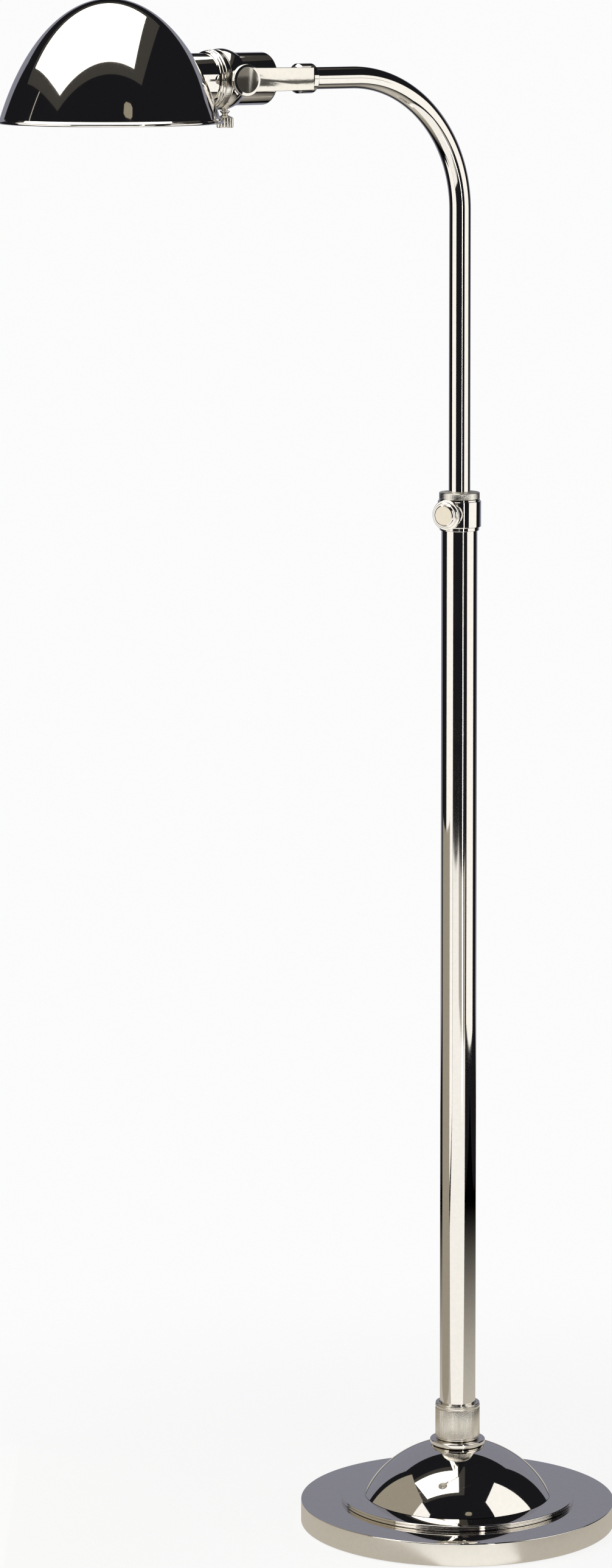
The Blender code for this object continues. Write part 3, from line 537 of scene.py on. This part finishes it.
def clamp_knob_piece():
    """The stepped knob that clamps the thin tube."""
    knob = measure("clamp_knob", CLAMP)
    k, back, face = knob.radius, knob.low, knob.high
    blind = measure("clamp_screw", CLAMP).high + CLEAR
    made = turned("clamp_knob_fine", "clamp_knob", [
        (0, blind), (SCREW_HOLE, blind), (SCREW_HOLE, back), (k - 0.8, back, 0.3),
        (k, back + 0.8, 0.5), (k, back + 3.6, 0.5), (k - 0.5, back + 4.1, 0.3),
        (k - 2.0, back + 4.1, 0.15), (k - 2.2, back + 5.9, 0.2), (k - 2.7, back + 6.4, 0.2),
        (k - 3.8, back + 6.4, 0.15), (k - 4.3, face - 0.5, 0.2), (k - 5.15, face, 0.3),
        (0, face)], CLAMP, "turned", "clamp_knob")
    # The face gets the cream tint, a painted reflection of the warm light round the knob.
    faced(made, CLAMP, face, "painted_cream")


# ---- the bent tube and the arm's end ---------------------------------------------------
def bent_tube():
    """The thin tube: straight up, round a quarter bend, and straight to the coupler."""
    low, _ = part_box("upper_tube")
    level = ARM.origin.z
    straight, steps, segments = 42.7, 48, 128
    bend = measure("upper_tube", ARM).high - straight
    route = [(Vector((0, 0, low.z / MM)), 0.0), (Vector((0, 0, level - bend - STAY)), 0.0)]
    for i in range(steps + 1):
        turn = math.pi / 2 * i / steps
        out, down = bend * (math.cos(turn) - 1), bend * (1 - math.sin(turn))
        route.append((Vector((out, 0, level - down)), turn))
    route.append((Vector((-bend - STAY, 0, level)), math.pi / 2))
    route.append((Vector((low.x / MM, 0, level)), math.pi / 2))

    bm = bmesh.new()
    loops = []
    angles = [math.tau * k / segments for k in range(segments)]
    side = Vector((0, 1, 0))
    for size, stations in ((tube_radius(), route), (tube_radius() - TUBE_WALL, route[::-1])):
        for spot, turn in stations:
            across = Vector((math.cos(turn), 0, math.sin(turn)))
            ring = [spot + size * (math.cos(a) * across + math.sin(a) * side) for a in angles]
            loops.append([bm.verts.new(p * MM) for p in ring])
    for here, there in zip(loops, loops[1:] + loops[:1]):
        for k in range(segments):
            j = (k + 1) % segments
            bm.faces.new((here[k], here[j], there[j], there[k]))
    finished("bent_tube", bm, "tube", "arm", ["upper_tube"])


def arm_end_pieces():
    """The coupler on the tube's end, and the flat bar that it holds in a slot."""
    low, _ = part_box("upper_tube")
    coupler = measure("arm_coupler", ARM)
    spigot = tube_radius() - TUBE_WALL - CLEAR
    near, far = -low.x / MM + CLEAR, coupler.high
    c, bore = coupler.radius, 3.5
    end = turned("coupler_fine", "arm_coupler", [
        (bore, coupler.low), (spigot, coupler.low, 0.4), (spigot, near), (c - 1.2, near, 0.4),
        (c, near + 1.3, 0.7), (c, far - 2.0, 0.8), (c - 1.4, far - 0.6, 0.5),
        (c - 2.6, far, 0.4), (bore, far)], ARM, "polished", "arm")

    bar_low, bar_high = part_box("flat_bar")
    side = Axis(Vector((0, 0, ARM.origin.z)), Vector((0, -1, 0)))
    inner, outer, root = -bar_high.y / MM, -bar_low.y / MM, bar_high.x / MM
    start, past, hairline = root + CLEAR, -far - 9, 0.01
    shape(end, prism([(start, -2 * c), (past, -2 * c), (past, 2 * c), (start, 2 * c)],
                     side, inner - CLEAR, inner + 3 * c, hairline), "DIFFERENCE")

    half, bevel = (bar_high.z - bar_low.z) / 2 / MM, 0.65
    shoulder = half - 0.7
    tip = [(-x, y) for x, y in arc(-PIVOT.origin.x, 0, half, 90, -90, 40)]
    outline = [(root, -shoulder), (root, shoulder)] + tip
    bar = finished("bar_plate", prism(outline, side, inner, outer, bevel),
                   "wavy", "arm", ["flat_bar"])
    shape(bar, rod(PIVOT, SCREW_HOLE, 0, 2 * outer), "DIFFERENCE")


# ---- the head --------------------------------------------------------------------------
def pivot_knob_piece():
    """The round knob with a knurled rim that locks the head's tilt."""
    knob = measure("pivot_knob", PIVOT)
    stud = measure("pivot_stud", PIVOT)
    k, back, face = knob.radius, knob.low, knob.high
    blind, hole = stud.high + CLEAR, stud.radius + CLEAR
    recess, sunk = 7.4, back + 1.2
    band = Knurl(80, 0.22, back + 0.7, face - 0.95)
    made = turned("pivot_knob_fine", "pivot_knob", [
        (0, blind), (hole, blind), (hole, sunk), (recess, sunk), (recess, back),
        (k - 0.7, back, 0.2), (k, band.low), (k, band.high), (k - 0.3, face - 0.6, 0.2),
        (k - 2.6, face, 0.3), (0, face)],
        PIVOT, "turned", "pivot_knob", knurl=band)
    faced(made, PIVOT, face, "ground")


def ring_pieces():
    """The clamp ring, its boss for the pivot, and the ring nut on its nose."""
    ring = measure("clamp_ring", HEAD)
    nut = measure("ring_nut", HEAD)
    bore = measure("socket_cup", HEAD).radius + CLEAR
    nose, edge = 24.0, nut.low - CLEAR
    lip, swell, share, steps = 23.6, 2.7, 0.72, 24
    bulge = [(lip + swell * math.sin(math.pi * share * i / steps),
              ring.low + (edge - ring.low) * i / steps) for i in range(steps + 1)]
    outline = [(bore, ring.low)] + bulge + [(nose, edge), (nose, ring.high), (bore, ring.high)]
    yoke = finished("yoke_ring", revolve(outline, HEAD, FINE),
                    "polished", "head_yoke", ["clamp_ring"])
    thumb_hole, boss, back = 2.9, 6.2, 3.4
    face = measure("friction_washer", PIVOT).low - CLEAR
    shape(yoke, rod(THUMB, thumb_hole, bore - 3, ring.radius), "DIFFERENCE")
    shape(yoke, revolve(rounded([(0, back), (boss, back), (boss, face, 0.3), (0, face)]),
                        PIVOT, SMALL), "UNION")
    in_bore, past = -6, 10
    shape(yoke, rod(PIVOT, SCREW_HOLE, in_bore, past), "DIFFERENCE")

    n, end, inside = nut.radius, nut.high, nose + CLEAR
    band = Knurl(180, 0.08, nut.low + 0.4, nut.low + 5.2)
    lip_low, lip_high = band.high + 1.1, band.high + 3.3
    turned("knurled_ring_nut", "ring_nut", [
        (inside, nut.low), (n - 0.3, nut.low), (n, band.low), (n, band.high),
        (n - 0.3, band.high + 0.2), (n - 1.0, band.high + 0.5, 0.2),
        (n - 1.0, lip_low - 0.2, 0.2), (n - 0.3, lip_low + 0.3, 0.6),
        (n - 0.3, lip_high - 0.2, 0.6), (n - 1.1, lip_high + 0.2, 0.2),
        (n - 1.1, lip_high + 0.6, 0.2), (n - 0.7, lip_high + 0.9, 0.3), (n - 0.8, end - 0.5, 0.5),
        (n - 1.5, end, 0.3), (bore, end), (bore, ring.high + CLEAR), (inside, ring.high + CLEAR)],
        HEAD, "turned", "ring_nut", knurl=band)


def thumbscrew_piece():
    """The small screw under the clamp ring, with a coarse knurl on its head."""
    thumb = measure("thumbscrew", THUMB)
    t, tip, end = thumb.radius, thumb.low, thumb.high
    head = 32.8
    band = Knurl(20, 0.6, head + 0.5, end - 0.7)
    turned("thumbscrew_fine", "thumbscrew", [
        (0, tip), (2.6, tip, 0.3), (2.6, tip + 4.0, 0.2), (4.2, tip + 4.0, 0.4),
        (4.2, tip + 5.0, 0.4), (2.5, tip + 6.7, 1.2), (2.6, tip + 7.8, 1.2),
        (t - 1.4, head - 0.5, 1.0), (t - 0.6, head, 0.3), (t, band.low), (t, band.high),
        (t - 0.7, end, 0.3), (0, end)],
        THUMB, "knurled", "thumbscrew", knurl=band)


def cup_pieces():
    """The socket cup, open towards the shade, and the bushing where its leads would enter."""
    cup = measure("socket_cup", HEAD)
    wall, floor = 1.6, 2.5
    c, inner = cup.radius, cup.radius - wall
    turned("cup_shell", "socket_cup", [
        (NIPPLE_HOLE, cup.low), (c, cup.low, 3.4), (c, cup.high, 0.4), (inner, cup.high, 0.4),
        (inner, cup.low + floor, 1.5), (NIPPLE_HOLE, cup.low + floor)],
        HEAD, "polished", "lamp_head", FINE, steps=12)

    bushing = measure("wire_bushing", HEAD)
    bore = 2.6
    turned("bushing_ring", "wire_bushing", [
        (bore, bushing.low, 0.6), (bushing.radius, bushing.low, 0.8),
        (bushing.radius, bushing.high), (bore, bushing.high)],
        HEAD, "black", "lamp_head", SMALL)


def lampholder_pieces():
    """The porcelain body and the ribbed shell that the bulb screws into."""
    holder = measure("lampholder_body", HEAD)
    shell = measure("screw_shell", HEAD)
    nipple = measure("socket_nipple", HEAD)
    contact = measure("centre_contact", HEAD)
    waist, flange, pin = 17.5, holder.low + 5, 3.5
    inner, floor, seat = shell.radius + CLEAR, contact.low - CLEAR, nipple.high + CLEAR
    turned("porcelain_body", "lampholder_body", [
        (NIPPLE_HOLE, holder.low), (holder.radius, holder.low, 0.5),
        (holder.radius, flange, 0.8), (waist, flange, 0.5), (waist, holder.high, 1.2),
        (inner, holder.high, 0.6), (inner, floor), (pin, floor), (pin, seat),
        (NIPPLE_HOLE, seat)], HEAD, "porcelain", "lamp_head")

    pitch, depth, bore, steps = 3.6, 0.35, 13.5, 12
    height = shell.high - shell.low
    count = steps * int(height / pitch)
    ridges = [(shell.radius - depth * (0.5 + 0.5 * math.cos(math.tau * i / steps)),
               shell.low + height * i / count) for i in range(count + 1)]
    finished("ribbed_shell", revolve([(bore, shell.low)] + ridges + [(bore, shell.high)],
                                     HEAD, SMALL), "brass", "lamp_head", ["screw_shell"])


def bulb_pieces():
    """The frosted bulb and its threaded cap."""
    bulb = measure("bulb_glass", HEAD)
    b, skin, neck = bulb.radius, 0.8, 12.8
    narrow, shoulder, nose = bulb.low + 8, bulb.low + 20, bulb.high - bulb.radius
    steps, tip_steps = 16, 24
    swell = [(neck + (b - neck) * (0.5 - 0.5 * math.cos(math.pi * i / steps)),
              narrow + (shoulder - narrow) * i / steps) for i in range(steps + 1)]
    hollow = [(r - skin, h) for r, h in swell]
    outside = [(0, bulb.high)] + arc(0, nose, b, 90, 0, tip_steps)[1:] + swell[::-1]
    inside = hollow + arc(0, nose, b - skin, 0, 90, tip_steps)[:-1] + [(0, bulb.high - skin)]
    foot = [(neck, bulb.low), (neck - skin, bulb.low)]
    finished("bulb_envelope", revolve(outside + foot + inside, HEAD, SMALL),
             "glass", "lamp_head", ["bulb_glass"])

    cap = measure("bulb_cap", HEAD)
    depth, start, end, turns, steps = 0.5, 5.2, 0.4, 6, 10
    length, count = cap.high - cap.low - start - end, turns * steps
    thread = [(cap.radius - depth * (0.5 + 0.5 * math.cos(math.tau * i / steps)),
               cap.low + start + length * i / count) for i in range(count + 1)]
    contact = [(0, cap.low), (4.3, cap.low), (4.5, cap.low + 1.4)]
    rim = [(cap.radius - 0.6, cap.high), (0, cap.high)]
    finished("bulb_thread", revolve(contact + thread + rim, HEAD, SMALL),
             "brass", "lamp_head", ["bulb_cap"])


def shade_pieces():
    """The shade's fixing nut, and the spun shade itself.

    The shade is the crown of a tall ellipsoid, with a bead rolled outward round its rim.
    """
    hole = measure("socket_cup", HEAD).radius + CLEAR
    nut = measure("shade_nut", HEAD)
    band = Knurl(90, 0.25, nut.low + 0.5, nut.high - 0.5)
    turned("shade_ring_nut", "shade_nut", [
        (hole, nut.low), (nut.radius - 0.4, nut.low), (nut.radius, band.low),
        (nut.radius, band.high), (nut.radius - 0.4, nut.high), (hole, nut.high, 0.4)],
        HEAD, "turned", "lamp_head", knurl=band)

    low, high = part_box("shade")
    centre = (low + high) / 2 / MM
    axis = Axis(Vector((centre.x, HEAD.origin.y, high.z / MM)), Vector((0, 0, 1)))
    tall, wide, wall, bead, steps = 201.0, 107.0, 1.0, 1.4, 72
    depth = (high.z - low.z) / MM - bead

    def crown(radius, height, first, last):
        turns = [first + (last - first) * i / steps for i in range(steps + 1)]
        return [(radius * math.cos(a), height * math.sin(a) - tall) for a in turns]

    top = math.pi / 2
    outside = crown(wide, tall, top, math.asin((tall - depth) / tall))
    inside = crown(wide - wall, tall - wall, math.asin((tall - depth) / (tall - wall)), top)
    rolled = arc(outside[-1][0] + 0.7 * bead, -depth, bead, 100, -150, 20)
    outline = [(0, 0)] + outside[1:-1] + rolled + inside[:-1] + [(0, -wall)]
    shade = finished("spun_shade", revolve(outline, axis, FINE),
                     "polished", "lamp_head", ["shade"])
    shade.data.materials.append(FINISH["lined"])
    shape(shade, rod(HEAD, hole, -PIVOT.origin.x, -centre.x, FINE), "DIFFERENCE")

    middle = Vector((axis.origin.x, axis.origin.y, axis.origin.z - tall)) * MM
    halfway = Vector((1 / (wide - wall / 2), 1 / (wide - wall / 2), 1 / (tall - wall / 2))) / MM
    for face in shade.data.polygons:
        within = ((face.center - middle) * halfway).length < 1
        face.material_index = int(within and face.center.z > low.z + 2 * bead * MM)


def inner_pieces():
    """The CAD nodes that stay as they are, each with its own finish."""
    finishes = {"iron": ["base_weight"],
                "brass": ["post_plug", "stop_ring", "retaining_ring", "centre_contact"],
                "steel": ["centre_rod", "lock_washer", "rod_nut", "clamp_screw", "pivot_stud",
                          "wave_washer", "socket_nipple"],
                "nylon": ["collar_bush", "guide_bush"],
                "black": ["friction_washer"],
                "turned": ["nipple_nut"]}
    for finish, names in finishes.items():
        for name in names:
            mesh = frame["nodes"][name].data
            mesh.materials.clear()
            mesh.materials.append(FINISH[finish])


# ---- the studio ------------------------------------------------------------------------
LOOK = Vector((0.574, 0.819, 0)).normalized()        # level, from the camera to the post
RIGHT = Vector((LOOK.y, -LOOK.x, 0))
WHITE, CREAM = (1.0, 0.99, 0.97), (1.0, 0.95, 0.86)
ROOM = 0.97                                          # brightness of the room and the far floor


def studio_spot(right, towards, height):
    """A place given by how far it lies to the camera's right and towards the camera."""
    return right * RIGHT - towards * LOOK + Vector((0, 0, height))


def flat(height, *corners):
    """A level panel's corners, each given as (right, towards)."""
    return [studio_spot(*corner, height) for corner in corners]


def upright(*corners):
    """A standing panel's corners, each given as (right, towards, height)."""
    return [studio_spot(*corner) for corner in corners]


def square(reach, height):
    return [Vector((x * reach, y * reach, height))
            for x, y in ((-1, -1), (1, -1), (1, 1), (-1, 1))]


def glow(name, colour, strength, edge=None):
    """A plain emitting finish; edge=(inner, outer) fades it out with distance from the lamp."""
    n = Nodes(name)
    power = n.fade(*edge, strength, 0.0) if edge else strength
    return n.show(n.add("Emission", {"Color": (*colour, 1), "Strength": power}).outputs[0])


def panel(name, corners, finish, camera=False, glossy=True, diffuse=True):
    """A flat light or card, seen only in reflections unless camera is set."""
    bm = bmesh.new()
    bm.faces.new([bm.verts.new(c) for c in corners])
    card = placed(name, bm)
    card.data.materials.append(finish)
    card.visible_camera, card.visible_glossy, card.visible_diffuse = camera, glossy, diffuse
    card.visible_shadow = False
    card.visible_transmission = False


def soft_lights():
    """The lights and cards round the lamp, each where the polished metal shows it."""
    top = 1.88
    for name, colour, strength, corners in (
            ("overhead_softbox", WHITE, 2.6, flat(
                top, (-1.10, 0.61), (0.02, 0.58), (0.04, -0.34), (-1.33, -0.41))),
            ("overhead_frame", CREAM, 0.055, flat(
                top + 0.03, (-1.31, 0.77), (0.20, 0.71), (0.22, -0.56), (-1.66, -0.61))),
            ("left_card", WHITE, 1.12, upright(
                (-1.15, 1.28, 0.0), (-1.15, 1.28, 1.66), (-1.15, 0.03, 1.50),
                (-1.15, 0.03, 0.36), (-1.15, 0.60, 0.36), (-1.15, 0.60, 0.0))),
            ("card_stand", CREAM, 0.7, upright(
                (-1.14, 0.156, 1.50), (-1.14, 0.156, 1.72), (-1.14, 0.168, 1.72),
                (-1.14, 0.168, 1.50))),
            ("low_card", (1.0, 0.91, 0.74), 0.35, upright(
                (-0.40, 0.23, 0.0), (-0.40, 0.23, 0.56), (-0.40, -0.25, 0.56),
                (-0.40, -0.25, 0.0))),
            ("right_card", WHITE, 1.12, upright(
                (0.95, 0.82, 0.20), (0.95, 0.80, 1.76), (0.95, -0.15, 1.58),
                (0.95, -0.17, 0.25))),
            ("thin_strip", WHITE, 5.0, upright(
                (0.64, 1.66, 0.0), (0.64, 1.66, 1.5), (0.71, 1.62, 1.5), (0.71, 1.62, 0.0))),
            ("window", (1.0, 0.92, 0.70), 0.31, upright(
                (0.43, 2.60, 2.96), (0.52, 2.60, 2.88), (0.78, 2.60, 2.88), (0.90, 2.60, 2.96),
                (0.98, 2.60, 3.22), (0.90, 2.60, 3.32), (0.64, 2.60, 3.32),
                (0.51, 2.60, 3.22)))):
        panel(name, corners, glow(name, colour, strength))


def flags():
    """Small dark cards in front of the head, on a plane along the arm, for its flat faces."""
    in_front = -0.30
    for name, strength, corners in (
            ("flag_by_the_bar", 0.06, (
                (-0.0235, 1.262), (0.13, 1.262), (0.13, 1.278), (-0.0235, 1.281))),
            ("flag_by_the_knob", 0.045, (
                (-0.0385, 1.256), (-0.0235, 1.256), (-0.0235, 1.281), (-0.0215, 1.281),
                (-0.0215, 1.308), (-0.0306, 1.308), (-0.0318, 1.295), (-0.0352, 1.278))),
            ("flag_by_the_head", 0.045, (
                (-0.075, 1.256), (-0.0385, 1.256), (-0.0368, 1.278), (-0.0362, 1.2865),
                (-0.075, 1.2865))),
            ("flag_above_the_head", 0.22, (
                (-0.075, 1.2865), (-0.0362, 1.2865), (-0.0362, 1.308), (-0.075, 1.308)))):
        panel(name, [Vector((x, in_front, z)) for x, z in corners],
              glow(name, CREAM, strength), diffuse=False)


def wide_lights():
    """The wall behind the lamp, and the lit parts of the floor that reflections show."""
    wall, side, high, under = -1.7, 1.6, 1.95, -0.002
    panel("grey_backdrop", upright((-side, wall, 0.0), (side, wall, 0.0), (side, wall, high),
                                   (-side, wall, high)),
          glow("grey_backdrop", (0.80, 0.82, 1.0), 0.31))
    panel("front_floor", flat(
        under, (0.06, 0.14), (0.14, 0.27), (1.47, 1.63), (0.0, 2.40), (-0.13, 3.65),
        (-2.35, 2.80), (-1.1, 1.25), (-0.95, 0.60), (-0.11, 0.21), (-0.02, 0.145)),
        glow("front_floor", WHITE, 1.05))
    panel("far_floor", flat(under, (0.0, 2.40), (1.47, 1.63), (2.35, 2.68), (-0.13, 3.65)),
          glow("far_floor", CREAM, 0.45))
    panel("floor_card", square(1.3, -0.003), glow("floor_card", CREAM, 0.56, (0.3, 1.25)))


def backdrop():
    """The pale floor that takes a soft shadow, and the white room behind it."""
    grey, own, soft_edge = 0.24, 0.83, (0.2, 0.9)
    n = Nodes("pale_floor")
    matt = n.add("BsdfDiffuse", {"Color": (grey, grey, grey, 1)}).outputs[0]
    lit = n.add("Emission", {"Strength": own}).outputs[0]
    near = n.add("AddShader", {0: matt, 1: lit}).outputs[0]
    far = n.add("Emission", {"Strength": ROOM}).outputs[0]
    both = n.add("MixShader", {0: n.fade(*soft_edge, 0.0, 1.0), 1: near, 2: far}).outputs[0]
    panel("floor", square(60.0, 0), n.show(both), camera=True, glossy=False, diffuse=False)

    world = bpy.data.worlds.new("studio")
    bpy.context.scene.world = world
    world.use_nodes = True
    sky = world.node_tree.nodes["Background"]
    sky.inputs["Color"].default_value = (0.0105, 0.0107, 0.013, 1)

    bm = bmesh.new()
    bmesh.ops.create_icosphere(bm, subdivisions=4, radius=50.0)
    room = placed("white_room", bm)
    room.data.materials.append(glow("white_room", (1, 1, 1), ROOM))
    room.visible_glossy = room.visible_diffuse = room.visible_shadow = False
    room.visible_transmission = False


def camera():
    """A little above the lamp, 35 degrees round from the knobs' side, and tipped down."""
    lens = bpy.data.cameras.new("camera")
    lens.lens = 124.7
    lens.shift_y = -0.29
    lens.clip_start, lens.clip_end = 0.1, 200.0
    eye = bpy.data.objects.new("camera", lens)
    bpy.context.scene.collection.objects.link(eye)
    eye.location = studio_spot(-0.196, 4.761, 1.422)
    down, aside = math.radians(4.25), math.radians(0.73)
    heading = LOOK * math.cos(aside) + RIGHT * math.sin(aside)
    gaze = heading * math.cos(down) - Vector((0, 0, math.sin(down)))
    eye.rotation_euler = gaze.to_track_quat("-Z", "Y").to_euler()
    bpy.context.scene.camera = eye


bpy.context.scene.view_settings.view_transform = "Standard"

camera()
plate_pieces()
dome_pieces()
post_pieces()
collar_pieces()
clamp_knob_piece()
bent_tube()
arm_end_pieces()
pivot_knob_piece()
ring_pieces()
thumbscrew_piece()
cup_pieces()
lampholder_pieces()
bulb_pieces()
shade_pieces()
inner_pieces()
soft_lights()
flags()
wide_lights()
backdrop()
